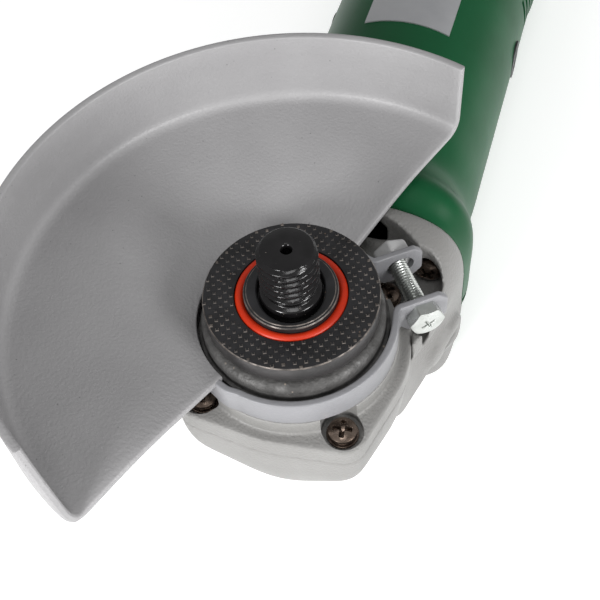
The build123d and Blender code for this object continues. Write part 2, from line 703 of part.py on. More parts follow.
def make_guard_band():
    band = ring(BAND_OUT_R, BAND_R, STEP_TOP + 0.3, BAND_TOP)
    band -= Rot(0, 0, EAR_AZ) * block((0, -EAR_Y + EAR_T / 2, -60), (60, EAR_Y - EAR_T / 2, 0))
    for side in (-1, 1):
        low_y, high_y = side * EAR_Y - EAR_T / 2, side * EAR_Y + EAR_T / 2
        ear = block((21.0, low_y, EAR_BOTTOM), (EAR_REACH, high_y, BAND_TOP))
        corners = ear.edges().filter_by(Axis.Y).group_by(Axis.X)[-1]
        ear = chamfer(corners, 2.6)
        ear -= Pos(BOLT_X, 0, BOLT_Z) * Rot(90, 0, 0) * Cylinder(BOLT_R + 0.25, 60)
        band += Rot(0, 0, EAR_AZ) * ear
    band -= drum(BAND_R, -60, 0)
    return band - drum(STEP_R + 0.4, -60, STEP_TOP + 0.3)


def make_clamp_bolt():
    hexagon = extrude(RegularPolygon(4.62, 6), 3.4)
    bolt = hexagon + drum(BOLT_R, -25.0, 0)
    for angle in (0, 90):
        bolt -= Rot(0, 0, angle) * block((-2.2, -0.45, 1.9), (2.2, 0.45, 5))
    return Rot(0, 0, EAR_AZ) * Pos(BOLT_X, -EAR_Y - EAR_T / 2, BOLT_Z) * Rot(90, 0, 0) * bolt


def make_clamp_nut():
    nut = extrude(RegularPolygon(4.62, 6), 4.0) - drum(BOLT_R + 0.02, -10, 10)
    return Rot(0, 0, EAR_AZ) * Pos(BOLT_X, EAR_Y + EAR_T / 2, BOLT_Z) * Rot(-90, 0, 0) * nut


def make_bearings():
    """The three ball bearings, as inner ring, outer ring and balls each."""
    parts = {}
    for name, seats, place in (
            ("spindle", (BEARING_SEAT_R, 16.0, -19.0, COLLAR_Z), lambda s: s),
            ("front", (5.0, 13.0, 26.0, 34.0), on_motor),
            ("rear", (3.5, 9.5, 163.5, 167.0), on_motor)):
        inner, outer, balls = bearing(*seats)
        parts[name + "_bearing_inner"] = place(inner)
        parts[name + "_bearing_outer"] = place(outer)
        parts[name + "_bearing_balls"] = [place(ball) for ball in balls]
    return parts


NODE_MAKERS = [
    make_spindle,
    make_wheel_flange,
    make_flange_o_ring,
    make_ring_gear,
    make_pinion,
    make_gear_retaining_ring,
    make_packing_gland,
    make_gland_screws,
    make_gland_screw_washers,
    make_bearing_retainer,
    make_bearing_retainer_screws,
    make_dust_seal,
    make_needle_bearing,
    make_gear_case,
    make_lock_button,
    make_lock_pin,
    make_lock_spring,
    make_motor_housing,
    make_housing_screws,
    make_housing_screw_washers,
    make_front_bearing_plate,
    make_fan_baffle,
    make_stator_core,
    make_field_coils,
    make_stator_screws,
    make_armature_shaft,
    make_pinion_nut,
    make_armature_core,
    make_armature_windings,
    make_commutator,
    make_fan,
    make_rear_bearing_sleeve,
    make_brush_holders,
    make_carbon_brushes,
    make_brush_springs,
    make_brush_caps,
    make_rear_cover,
    make_rear_cover_screws,
    make_cord_inlet_bush,
    make_switch_body,
    make_terminal_block,
    make_capacitor,
    make_nameplate,
    make_switch_knob,
    make_switch_lever,
    make_guard_shell,
    make_guard_band,
    make_clamp_bolt,
    make_clamp_nut,
]


def save(name, shape):
    """Writes one node; a list becomes a group of separate solids."""
    if isinstance(shape, (list, tuple)):
        shape = Compound(children=[solid for item in shape for solid in item.solids()])
    export_step(shape, f"parts/{name}.step")


def main():
    os.makedirs("parts", exist_ok=True)
    for name, shape in make_bearings().items():
        save(name, shape)
    for maker in NODE_MAKERS:
        save(maker.__name__.removeprefix("make_"), maker())


main()
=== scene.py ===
import bpy
import bmesh
import json
import math
import numpy as np
from mathutils import Matrix, Vector


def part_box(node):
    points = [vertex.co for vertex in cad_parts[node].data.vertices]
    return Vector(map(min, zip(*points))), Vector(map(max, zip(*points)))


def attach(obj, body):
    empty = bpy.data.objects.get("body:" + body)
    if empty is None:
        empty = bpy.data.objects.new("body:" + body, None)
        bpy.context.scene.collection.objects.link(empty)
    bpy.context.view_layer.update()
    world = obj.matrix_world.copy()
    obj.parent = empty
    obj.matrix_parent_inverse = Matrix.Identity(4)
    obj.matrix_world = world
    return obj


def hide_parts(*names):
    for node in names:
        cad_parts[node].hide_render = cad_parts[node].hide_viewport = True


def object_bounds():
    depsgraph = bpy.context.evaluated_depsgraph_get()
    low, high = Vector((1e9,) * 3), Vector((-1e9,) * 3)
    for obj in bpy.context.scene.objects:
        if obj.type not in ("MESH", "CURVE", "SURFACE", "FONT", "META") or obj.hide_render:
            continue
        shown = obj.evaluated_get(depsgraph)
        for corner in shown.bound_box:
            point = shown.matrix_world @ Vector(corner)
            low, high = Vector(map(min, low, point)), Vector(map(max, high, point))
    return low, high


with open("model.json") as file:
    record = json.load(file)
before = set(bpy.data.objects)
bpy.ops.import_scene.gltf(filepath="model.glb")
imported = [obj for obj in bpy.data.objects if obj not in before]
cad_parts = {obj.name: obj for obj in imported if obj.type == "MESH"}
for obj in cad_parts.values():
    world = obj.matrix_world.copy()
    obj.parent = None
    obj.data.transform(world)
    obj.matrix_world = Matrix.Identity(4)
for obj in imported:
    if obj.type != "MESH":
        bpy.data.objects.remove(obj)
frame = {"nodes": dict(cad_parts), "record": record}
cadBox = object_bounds()
nodes = frame["nodes"]
mm = 0.001
turn = 2 * math.pi
print("frame loaded,", len(nodes), "nodes")

# shared by several pieces: the spindle's box and the motor axis in mm, the floor, and the ears' direction
spindleLow, spindleHigh = [np.array(corner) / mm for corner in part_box("spindle")]
floorZ = cadBox[0].z
motorZ = -45.0
earAngle = math.radians(37.4)


def rgb(r, g, b):
    # the display values 0..255 as linear light
    value = np.array((r, g, b)) / 255
    linear = np.where(value > 0.04045, ((value + 0.055) / 1.055) ** 2.4, value / 12.92)
    return (float(linear[0]), float(linear[1]), float(linear[2]), 1.0)


# one entry for each material; scales are per metre and bump depths in metres
finishes = {
    "guard_grey": dict(base=rgb(154, 153, 154), tint=rgb(145, 144, 145), mottle=30, grain=1300, bump=0.00013,
                       rough=0.44, spread=0.10, specks=rgb(112, 112, 112), speckScale=420, speckSize=0.055),
    # the band's grey is the guard's paint made darker: painted shade on the band's strongly lit front
    "bandGrey": dict(base=rgb(132, 132, 135), tint=rgb(124, 124, 127), mottle=30, grain=1300, bump=0.00008,
                     rough=0.4, spread=0.08),
    "cast_grey": dict(base=rgb(131, 130, 128), tint=rgb(124, 123, 121), mottle=40, grain=1500, bump=0.00022,
                      rough=0.46, spread=0.12, specks=rgb(140, 132, 122), speckScale=330, speckSize=0.045),
    "bareCast": dict(base=rgb(88, 87, 86), tint=rgb(64, 63, 62), mottle=330, grain=1000, bump=0.0003,
                     rough=0.55, spread=0.25, metallic=0.15, specks=rgb(150, 138, 126), speckScale=520,
                     speckSize=0.11),
    # the nut's grey is the guard's paint made lighter: painted light where the nut sits in shade
    "nut_grey": dict(base=rgb(184, 184, 184), tint=rgb(170, 170, 170), mottle=160, grain=1400, bump=0.00008,
                     rough=0.5, spread=0.1),
    "screw_bronze": dict(base=rgb(134, 119, 108), tint=rgb(84, 72, 64), mottle=420, grain=1600, bump=0.00002,
                         rough=0.26, spread=0.14, metallic=0.92),
    "zinc": dict(base=rgb(200, 203, 200), tint=rgb(182, 185, 181), mottle=300, grain=1900, bump=0.000008,
                 rough=0.3, spread=0.16, metallic=0.9),
    "steel": dict(base=rgb(176, 177, 180), tint=rgb(150, 150, 152), mottle=160, grain=2200, bump=0.00002,
                  rough=0.3, spread=0.1, metallic=1.0),
    "spindle_black": dict(base=rgb(24, 23, 24), tint=rgb(14, 13, 14), mottle=260, grain=1700, bump=0.00003,
                          rough=0.17, spread=0.12, metallic=0.1, specks=rgb(120, 112, 104), speckScale=700,
                          speckSize=0.05),
    "flange_black": dict(base=rgb(50, 50, 52), tint=rgb(38, 38, 39), mottle=180, grain=1500, bump=0.00005,
                         rough=0.42, spread=0.14, metallic=0.45, specks=rgb(110, 92, 80), speckScale=500,
                         speckSize=0.07),
    "flangeSide": dict(base=rgb(66, 64, 64), tint=rgb(46, 45, 45), mottle=150, grain=1700, bump=0.00003,
                       rough=0.34, spread=0.14, metallic=0.4),
    # lighter steel: wear on the knurl dots, and a painted highlight on the flange's rim and pilot edges
    "wornSteel": dict(base=rgb(118, 110, 104), tint=rgb(58, 54, 51), mottle=520, grain=1500, bump=0.00004,
                      rough=0.45, spread=0.15, metallic=0.4),
    "knurlEdge": dict(base=rgb(112, 105, 100), tint=rgb(64, 60, 58), mottle=260, grain=1500, bump=0.00002,
                      rough=0.4, spread=0.1, metallic=0.3),
    "orange_rubber": dict(base=rgb(190, 44, 6), tint=rgb(164, 34, 4), mottle=110, grain=1300, bump=0.00002,
                          rough=0.42, spread=0.1, specular=0.35),
    "green_plastic": dict(base=rgb(14, 78, 45), tint=rgb(11, 70, 39), mottle=36, grain=2400, bump=0.00002,
                          specular=0.2, rough=0.4, spread=0.06, specks=rgb(88, 132, 104), speckScale=160,
                          speckSize=0.012),
    "black_plastic": dict(base=rgb(36, 36, 38), tint=rgb(28, 28, 29), mottle=120, grain=1500, bump=0.00007,
                          rough=0.5, spread=0.1),
    "black_rubber": dict(base=rgb(30, 30, 31), tint=rgb(22, 22, 22), mottle=90, grain=1200, bump=0.00006,
                         rough=0.68, spread=0.1),
    "felt": dict(base=rgb(112, 106, 98), tint=rgb(84, 80, 74), mottle=900, grain=2600, bump=0.00012,
                 rough=0.95, spread=0.05),
    "lamination": dict(base=rgb(134, 134, 138), tint=rgb(102, 102, 106), mottle=300, grain=2600, bump=0.00004,
                       rough=0.4, spread=0.12, metallic=0.9),
    "copper": dict(base=rgb(186, 104, 66), tint=rgb(146, 74, 44), mottle=600, grain=2000, bump=0.00006,
                   rough=0.34, spread=0.1, metallic=0.9),
    "brass": dict(base=rgb(196, 166, 98), tint=rgb(170, 140, 78), mottle=300, grain=1600, bump=0.00003,
                  rough=0.32, spread=0.1, metallic=1.0),
    "carbon": dict(base=rgb(44, 44, 46), tint=rgb(34, 34, 36), mottle=700, grain=2600, bump=0.00005,
                   rough=0.7, spread=0.1),
    "label_grey": dict(base=rgb(190, 191, 193), tint=rgb(176, 177, 180), mottle=60, grain=2400, bump=0.00002,
                       rough=0.35, spread=0.06, metallic=0.6),
}


def makeFinish(name, look):
    # base and tint mixed by a slow noise, a fine noise for bump and roughness, and scattered specks
    material = bpy.data.materials.new(name)
    material.use_nodes = True
    tree = material.node_tree
    shader = tree.nodes["Principled BSDF"]
    coords = tree.nodes.new("ShaderNodeTexCoord")

    def noise(scale, detail):
        node = tree.nodes.new("ShaderNodeTexNoise")
        node.inputs["Scale"].default_value = scale
        node.inputs["Detail"].default_value = detail
        tree.links.new(coords.outputs["Object"], node.inputs["Vector"])
        return node.outputs["Fac"]

    def mapped(value, low, high, toLow, toHigh):
        node = tree.nodes.new("ShaderNodeMapRange")
        for socket, number in zip(("From Min", "From Max", "To Min", "To Max"), (low, high, toLow, toHigh)):
            node.inputs[socket].default_value = number
        tree.links.new(value, node.inputs["Value"])
        return node.outputs["Result"]

    def mixed(factor, first, second):
        node = tree.nodes.new("ShaderNodeMix")
        node.data_type = "RGBA"
        tree.links.new(factor, node.inputs["Factor"])
        for socket, value in ((6, first), (7, second)):
            if isinstance(value, tuple):
                node.inputs[socket].default_value = value
            else:
                tree.links.new(value, node.inputs[socket])
        return node.outputs[2]

    slow, fine = noise(look["mottle"], 4), noise(look["grain"], 2)
    colour = mixed(mapped(slow, 0.35, 0.65, 0, 1), look["base"], look["tint"])
    if "specks" in look:
        cells = tree.nodes.new("ShaderNodeTexVoronoi")
        cells.inputs["Scale"].default_value = look["speckScale"]
        tree.links.new(coords.outputs["Object"], cells.inputs["Vector"])
        size = look["speckSize"]
        spots = mapped(cells.outputs["Distance"], size, size * 1.6, 1, 0)
        thin = tree.nodes.new("ShaderNodeMath")
        thin.operation = "MULTIPLY"
        tree.links.new(spots, thin.inputs[0])
        tree.links.new(mapped(noise(look["speckScale"] * 0.3, 1), 0.5, 0.62, 0, 1), thin.inputs[1])
        colour = mixed(thin.outputs[0], colour, look["specks"])
    tree.links.new(colour, shader.inputs["Base Color"])
    low, high = look["rough"] - look["spread"] / 2, look["rough"] + look["spread"] / 2
    tree.links.new(mapped(slow, 0.3, 0.7, low, high), shader.inputs["Roughness"])
    bump = tree.nodes.new("ShaderNodeBump")
    bump.inputs["Distance"].default_value = look["bump"]
    bump.inputs["Strength"].default_value = 1.0
    tree.links.new(fine, bump.inputs["Height"])
    tree.links.new(bump.outputs["Normal"], shader.inputs["Normal"])
    shader.inputs["Metallic"].default_value = look.get("metallic", 0.0)
    if "glow" in look:
        shader.inputs["Emission Color"].default_value = (1, 1, 1, 1)
        shader.inputs["Emission Strength"].default_value = look["glow"]
    shader.inputs["Specular IOR Level"].default_value = look.get("specular", 0.5)
    return material


materials = {name: makeFinish(name, look) for name, look in finishes.items()}
for entry in frame["record"]["subparts"]:
    carried = nodes[entry["node"]]
    carried.data.materials.clear()
    carried.data.materials.append(materials[entry["material_slot"]])
print("finishes made,", len(materials))


def signedVolume(points, faces):
    # the sum of the tetrahedra between the origin and each face, positive when faces point outwards
    total = 0.0
    for corners in faces:
        a = points[corners[:, 0]]
        for second in range(1, corners.shape[1] - 1):
            b, c = points[corners[:, second]], points[corners[:, second + 1]]
            total += np.einsum("ij,ij->i", a, np.cross(b, c)).sum()
    return total


def linked(name, points, faces):
    # points in mm; faces is a list of index arrays, one for each number of corners, turned to point outwards
    if signedVolume(points, faces) < 0:
        faces = [corners[:, ::-1] for corners in faces]
    mesh = bpy.data.meshes.new(name)
    mesh.from_pydata((points * mm).tolist(), [], [face for corners in faces for face in corners.tolist()])
    mesh.update()
    made = bpy.data.objects.new(name, mesh)
    bpy.context.scene.collection.objects.link(made)
    return made


def applied(piece):
    # the piece's modifiers made part of its mesh
    evaluated = piece.evaluated_get(bpy.context.evaluated_depsgraph_get())
    result = bpy.data.meshes.new_from_object(evaluated)
    piece.modifiers.clear()
    piece.data = result


def cutWith(piece, cutters):
    # takes the cutters' solids out of the piece, and forgets them
    for points, faces in cutters:
        tool = linked("cutter", points, faces)
        modifier = piece.modifiers.new("cut", "BOOLEAN")
        modifier.object = tool
        modifier.solver = "EXACT"
        applied(piece)
        bpy.data.objects.remove(tool)


def addPiece(name, points, faces, body, finish, replaced=(), sharp=40, cutters=()):
    piece = linked(name, points, faces)
    cutWith(piece, cutters)
    return dress(piece, body, finish, replaced, sharp)


def faceCentres(piece):
    # the middle of each face, in mm
    centres = np.zeros(len(piece.data.polygons) * 3)
    piece.data.polygons.foreach_get("center", centres)
    return centres.reshape(-1, 3) / mm


def dress(piece, body, finish, replaced=(), sharp=40):
    # finishes, shading with edges sharper than `sharp` degrees kept, its body, and the nodes it stands for
    finishNames = (finish,) if isinstance(finish, str) else finish
    piece.data.materials.clear()
    for item in finishNames:
        piece.data.materials.append(materials[item])
    piece.data.shade_smooth()
    piece.data.set_sharp_from_angle(angle=math.radians(sharp))
    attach(piece, body)
    if replaced:
        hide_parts(*replaced)
    return piece


def gridFaces(rows, cols, wrapRows=False):
    # the quads between neighbouring rows of a grid whose rows close on themselves
    i, j = np.meshgrid(np.arange(rows if wrapRows else rows - 1), np.arange(cols), indexing="ij")
    i2, j2 = (i + 1) % rows, (j + 1) % cols
    return np.stack([i * cols + j, i * cols + j2, i2 * cols + j2, i2 * cols + j], axis=-1).reshape(-1, 4)


def tubeSurface(grid):
    # a grid of rows that each close on themselves, with a fan to the mean of the first and last row
    rows, cols = grid.shape[:2]
    points = np.concatenate([grid.reshape(-1, 3), grid[:1].mean(axis=1), grid[-1:].mean(axis=1)])
    ring = np.arange(cols)
    nextRing = (ring + 1) % cols
    startFan = np.stack([np.full(cols, rows * cols), nextRing, ring], axis=-1)
    last = (rows - 1) * cols
    endFan = np.stack([np.full(cols, rows * cols + 1), last + ring, last + nextRing], axis=-1)
    return points, [gridFaces(rows, cols), np.concatenate([startFan, endFan])]


def sheetSurface(grid):
    # closed rows joined to a tube whose ends are strips between a row's two halves
    rows, cols = grid.shape[:2]
    half = cols // 2
    k = np.arange(half - 1)
    strip = np.stack([k, k + 1, cols - 2 - k, cols - 1 - k], axis=-1)
    last = (rows - 1) * cols
    ends = np.concatenate([strip, (strip + last)[:, ::-1]])
    return grid.reshape(-1, 3), [np.concatenate([gridFaces(rows, cols), ends])]


def merged(parts):
    # several (points, faces) surfaces as one
    allPoints, quads, tris, first = [], [], [], 0
    for points, faces in parts:
        allPoints.append(points)
        for corners in faces:
            (quads if corners.shape[1] == 4 else tris).append(corners + first)
        first += len(points)
    return np.concatenate(allPoints), [np.concatenate(group) for group in (quads, tris) if group]


def roundCorners(corners, radius, steps=4, closed=False):
    # each corner p becomes (1-t)^2 a + 2t(1-t) p + t^2 b, with a and b a radius before and after it
    corners = np.array(corners, float)
    radii = np.broadcast_to(radius, len(corners))
    t = np.linspace(0, 1, steps + 1)[:, None]
    out = []
    for k, corner in enumerate(corners):
        if not closed and k in (0, len(corners) - 1):
            out.append(corner[None])
            continue
        before, after = corners[k - 1] - corner, corners[(k + 1) % len(corners)] - corner
        lengthBefore, lengthAfter = np.linalg.norm(before), np.linalg.norm(after)
        a = corner + before * min(radii[k] / lengthBefore, 0.49)
        b = corner + after * min(radii[k] / lengthAfter, 0.49)
        out.append((1 - t) ** 2 * a + 2 * t * (1 - t) * corner + t ** 2 * b)
    return np.concatenate(out)


def lathe(profile, steps=160):
    # each (radius, height) turned round Z: (r cos t, r sin t, z)
    profile = np.array(profile, float)
    t = np.arange(steps) * turn / steps
    r, z = profile[:, :1], profile[:, 1:]
    return np.stack([r * np.cos(t), r * np.sin(t), np.broadcast_to(z, (len(profile), steps))], axis=-1)


def circleAt(radius, z, steps=120):
    # one row round Z at the height z: (radius cos t, radius sin t, z)
    t = np.arange(steps) * turn / steps
    return np.stack([radius * np.cos(t), radius * np.sin(t), np.full(steps, float(z))], axis=-1)


def turnedGrid(radius, z, steps):
    # rows of radius at the angles t and heights z: (r cos t, r sin t, z)
    t = np.arange(steps) * turn / steps
    height = np.broadcast_to(z[:, None], radius.shape)
    return np.stack([radius * np.cos(t), radius * np.sin(t), height], axis=-1)


def placed(points, matrix):
    # points moved by a 4 by 4 matrix in mm
    matrix = np.array(matrix)
    return points @ matrix[:3, :3].T + matrix[:3, 3]


def axes(origin, xAxis, zAxis):
    # a matrix whose Z is zAxis and whose X is as near as can be to xAxis
    z = np.array(zAxis, float) / np.linalg.norm(zAxis)
    x = np.array(xAxis, float) - np.dot(xAxis, z) * z
    x /= np.linalg.norm(x)
    matrix = np.eye(4)
    matrix[:3, 0], matrix[:3, 1], matrix[:3, 2], matrix[:3, 3] = x, np.cross(z, x), z, origin
    return matrix


def smoothStep(low, high, value):
    t = np.clip((value - low) / (high - low), 0, 1)
    return t * t * (3 - 2 * t)


def threadRadius(z, angle, crest, pitch, depth):
    # crest radius less a groove whose depth follows the distance to the helix z = pitch * angle / turn
    phase = (z / pitch - angle / turn) % 1
    away = np.abs(phase - 0.5) * 2
    return crest - depth * (1 - np.clip((away - 0.18) / 0.66, 0, 1))


spindle = dict(crest=6.95, pitch=2.0, depth=1.15, tipFace=5.95, chamfer=1.0, hole=1.25, holeDepth=5.0,
               threadEnd=3.4, root=0.9, shoulder=7.4, shoulderFrom=1.6, collar=9.0, collarFrom=-5.2,
               collarTo=-9.0, seat=6.0, seatTo=-38.4, tail=5.0, rows=116, steps=144)


def spindleSurface(s):
    # a turned profile whose threaded stretch has threadRadius, capped by the chamfer's cone at the tip
    top = spindleHigh[2]
    tip = roundCorners([(0.02, top - s["holeDepth"]), (s["hole"], top - s["holeDepth"] + 0.8),
                        (s["hole"], top - 0.35), (s["hole"] + 0.35, top), (s["tipFace"], top)], 0.12)
    tail = roundCorners([(s["crest"] - s["root"], 3.1), (s["crest"] - s["root"] - 0.05, 2.7),
                         (s["shoulder"] - 0.25, 2.2), (s["shoulder"], s["shoulderFrom"]),
                         (s["shoulder"], s["collarFrom"]), (s["collar"], s["collarFrom"] - 0.1),
                         (s["collar"], s["collarTo"]), (s["seat"], s["collarTo"]), (s["seat"], s["seatTo"]),
                         (s["tail"], s["seatTo"]), (s["tail"], spindleLow[2] + 0.5),
                         (s["tail"] - 0.5, spindleLow[2]), (0.02, spindleLow[2])], 0.35)
    z = np.linspace(top - 0.12, s["threadEnd"], s["rows"])
    angle = np.arange(s["steps"]) * turn / s["steps"]
    fade = smoothStep(s["threadEnd"] - 0.2, s["threadEnd"] + 1.6, z)[:, None]
    radius = threadRadius(z[:, None], angle[None], s["crest"], s["pitch"], s["depth"])
    radius = (s["crest"] - s["root"]) * (1 - fade) + radius * fade
    cone = s["tipFace"] + (top - z[:, None]) / s["chamfer"] * (s["crest"] - s["tipFace"])
    thread = turnedGrid(np.minimum(radius, cone), z, s["steps"])
    grid = np.concatenate([lathe(tip, s["steps"]), thread, lathe(tail, s["steps"])])
    return tubeSurface(grid)


addPiece("threadedSpindle", *spindleSurface(spindle), "spindle", "spindle_black", ("spindle",), 50)
print("spindle done")


flange = dict(radius=20.7, thick=5.3, bore=7.45, pilot=11.1, pilotHeight=1.8, pocket=7.85, pocketLong=9.3,
              pocketAngle=math.radians(-68), pocketDepth=1.2, groove=13.35, grooveDepth=1.9, steps=200)


def flangeSurface(f):
    # a closed turned profile: side, rim, knurled face, groove, pilot with a double edge, pocket
    radius, top = f["radius"], f["pilotHeight"]
    profile = roundCorners([
        (f["bore"], -f["thick"]), (radius - 0.5, -f["thick"]), (radius, -f["thick"] + 0.5), (radius, -0.3),
        (radius - 0.25, 0.0), (f["groove"], 0.0), (f["groove"], -f["grooveDepth"]),
        (f["pilot"], -f["grooveDepth"]), (f["pilot"], top - 0.55), (f["pilot"] - 0.25, top - 0.2),
        (f["pilot"] - 0.6, top - 0.2), (f["pilot"] - 0.8, top), (f["pocket"] + 0.3, top),
        (f["pocket"], top - 0.3), (f["pocket"], -f["pocketDepth"]),
        (f["bore"], -f["pocketDepth"] - 0.05)], 0.1, 3, closed=True)
    grid = lathe(profile, f["steps"])
    # the pocket is oval: its wall moves out by the squared cosine of the angle from its long axis
    t = np.arange(f["steps"]) * turn / f["steps"] - f["pocketAngle"]
    wall = (np.abs(profile[:, 0] - f["pocket"] - 0.15) < 0.3) & (profile[:, 1] > -f["pocketDepth"] - 0.01)
    grow = 1 + wall[:, None] * (f["pocketLong"] / f["pocket"] - 1) * np.cos(t) ** 2
    grid[..., :2] *= grow[..., None]
    return grid.reshape(-1, 3), [gridFaces(len(profile), f["steps"], wrapRows=True)]


flangePiece = addPiece("wheelFlange", *flangeSurface(flange), "spindle",
                       ("flange_black", "flangeSide", "wornSteel"), ("wheel_flange",), 30)
# the side darker, and the rim's edge and both edges of the pilot painted bright as a painted edge highlight
centres = faceCentres(flangePiece)
faceRadius = np.hypot(centres[:, 0], centres[:, 1])
faceLook = ((faceRadius > flange["radius"] - 0.42) & (centres[:, 2] < -0.12)).astype(np.int32)
rimEdge = (np.abs(faceRadius - flange["radius"] + 0.12) < 0.14) & (centres[:, 2] > -0.34)
belowTop = flange["pilotHeight"] - centres[:, 2]
pilotEdge = (np.abs(faceRadius - flange["pilot"] + 0.1) < 0.12) & (belowTop < 0.6)
pilotEdge |= (np.abs(faceRadius - flange["pilot"] + 0.72) < 0.09) & (belowTop < 0.25)
faceLook[rimEdge | pilotEdge] = 2
flangePiece.data.polygons.foreach_set("material_index", faceLook)


knurl = dict(inner=13.9, outer=20.3, pitch=1.267, turned=math.radians(23.7), half=0.42, topHalf=0.26,
             height=0.2, wornFrom=19.3, wornShare=0.45, seed=7)


def knurlDots(k):
    # truncated pyramids on a square lattice turned by 45 degrees, kept between two radii
    count = int(k["outer"] / k["pitch"]) + 2
    i, j = np.meshgrid(np.arange(-count, count + 1), np.arange(-count, count + 1), indexing="ij")
    keep = (i + j) % 2 == 0
    c, d = math.cos(k["turned"]), math.sin(k["turned"])
    x, y = (i[keep] * c - j[keep] * d) * k["pitch"], (i[keep] * d + j[keep] * c) * k["pitch"]
    radius = np.hypot(x, y)
    inside = (radius > k["inner"]) & (radius < k["outer"])
    x, y, radius = x[inside], y[inside], radius[inside]
    rng = np.random.default_rng(k["seed"])
    size = 1 + rng.uniform(-0.12, 0.12, len(x))
    corner = np.array([(-1, -1), (1, -1), (1, 1), (-1, 1)]) @ np.array([(c, d), (-d, c)])
    low = corner[None] * k["half"] * size[:, None, None]
    high = corner[None] * k["topHalf"] * size[:, None, None]
    centre = np.stack([x, y], axis=-1)[:, None]
    height = k["height"] * (1 + rng.uniform(-0.2, 0.15, len(x)))
    bottom = np.concatenate([centre + low, np.full((len(x), 4, 1), -0.06)], axis=-1)
    top = np.concatenate([centre + high, np.broadcast_to(height[:, None, None], (len(x), 4, 1))], axis=-1)
    points = np.concatenate([bottom, top], axis=1).reshape(-1, 3)
    box = np.array([(3, 2, 1, 0), (4, 5, 6, 7), (0, 1, 5, 4), (1, 2, 6, 5), (2, 3, 7, 6), (3, 0, 4, 7)])
    faces = (np.arange(len(x)) * 8)[:, None, None] + box[None]
    worn = (radius > k["wornFrom"]) & (rng.uniform(0, 1, len(x)) < k["wornShare"])
    return points, faces.reshape(-1, 4), worn


dotPoints, dotFaces, dotWorn = knurlDots(knurl)
dots = addPiece("flangeKnurl", dotPoints, [dotFaces], "spindle", ("flange_black", "knurlEdge", "wornSteel"),
                (), 20)
dotIndex = np.ones((len(dotWorn), 6), np.int32)
dotIndex[:, :2] = 0
dotIndex[dotWorn, 1:] = 2
dots.data.polygons.foreach_set("material_index", dotIndex.ravel())


oRing = dict(radius=12.1, wire=1.1, lift=0.1, steps=200, around=28)


def oRingSurface(o):
    # a torus with a slow waviness of its height
    t = np.arange(o["steps"])[:, None] * turn / o["steps"]
    a = np.arange(o["around"])[None] * turn / o["around"]
    radius = o["radius"] + o["wire"] * np.cos(a)
    z = -flange["grooveDepth"] + o["wire"] + o["lift"] + o["wire"] * np.sin(a) + 0.05 * np.sin(3 * t + 1)
    grid = np.stack([radius * np.cos(t), radius * np.sin(t), z], axis=-1)
    return grid.reshape(-1, 3), [gridFaces(o["steps"], o["around"], wrapRows=True)]


addPiece("flangeORing", *oRingSurface(oRing), "spindle", "orange_rubber", ("flange_o_ring",), 80)
print("flange done")


guard = dict(inner=23.3, coneEnd=48.0, skirt=69.0, bandTop=-9.0, plate=-5.0, top=15.4, thick=2.1,
             bend=3.4, coneBlend=9.0, rightEdge=math.radians(69.0), setback=2.7, slant=math.radians(8.0),
             columns=150, edge=0.35, wave=0.10)


def sheetLoop(middle, thick, edge):
    # both faces of a sheet round its middle line, with a round edge at each end, as one closed line
    along = np.gradient(middle, axis=0)
    along /= np.linalg.norm(along, axis=1)[:, None]
    normal = np.stack([-along[:, 1], along[:, 0]], axis=-1)
    half = thick / 2
    inset = np.array([0.0, 0.12, 0.5, 1.0]) * edge
    level = np.array([0.35, 0.7, 0.93, 1.0])
    endA = [(middle[0] + along[0] * d, normal[0], h) for d, h in zip(inset, level)]
    endB = [(middle[-1] - along[-1] * d, normal[-1], h) for d, h in zip(inset[::-1], level[::-1])]
    base = np.array([p for p, n, h in endA] + list(middle[2:-2]) + [p for p, n, h in endB])
    side = np.array([n * h for p, n, h in endA] + list(normal[2:-2]) + [n * h for p, n, h in endB]) * half
    return np.concatenate([base, base[::-1]]), np.concatenate([side, -side[::-1]])


def guardSurface(g):
    # the sheet's section (radius, height) carried round the axis between its two cut edges
    half = g["thick"] / 2
    corners = [(g["inner"], g["bandTop"] - half), (g["coneEnd"], g["plate"] - half),
               (g["skirt"] + half, g["plate"] - half), (g["skirt"] + half, g["top"])]
    middle = roundCorners(corners, (0, g["coneBlend"], g["bend"] + 1, 0), 10)
    spans = [np.linspace(a, b, 7)[:-1] if np.linalg.norm(b - a) > 4 else a[None]
             for a, b in zip(middle, middle[1:])]
    base, side = sheetLoop(np.concatenate(spans + [middle[-1:]]), g["thick"], g["edge"])
    # rows crowd at the two cut edges, where the section is thinner, so the edges are soft
    inset = np.array([0.0, 0.1, 0.35]) * g["edge"] / 40
    level = np.array([0.45, 0.8, 0.96])
    v = np.concatenate([inset, np.linspace(0.0135, 0.9865, g["columns"]), 1 - inset[::-1]])
    scale = np.concatenate([level, np.ones(g["columns"]), level[::-1]])
    r = base[:, 0][:, None] + side[:, 0][:, None] * scale
    z = base[:, 1][:, None] + side[:, 1][:, None] * scale
    # the far edge is a chord set back from the axis, and slants with the height of the skirt
    rise = np.clip((base[:, 1] - g["plate"]) / (g["top"] - g["plate"]), 0, 1)
    left = g["rightEdge"] + math.pi - np.arcsin(g["setback"] / base[:, 0]) - g["slant"] * rise
    angle = g["rightEdge"] + (left - g["rightEdge"])[:, None] * v
    # the sheet isn't quite flat
    z = z + g["wave"] * np.sin(3 * angle) * smoothStep(30, 60, r)
    grid = np.stack([r * np.cos(angle), r * np.sin(angle), z], axis=-1).transpose(1, 0, 2)
    return sheetSurface(grid)


addPiece("guardShell", *guardSurface(guard), "guard", "guard_grey", ("guard_shell",), 50)

band = dict(radius=24.2, thick=1.7, top=-9.0, low=-16.9, earLow=-19.2, earY=7.5, reach=36.4, chamfer=2.0,
            joggle=0.7, joggleFrom=-112.0, joggleTo=-103.0, joggleEnd=72.0, bend=2.6, edge=0.45)


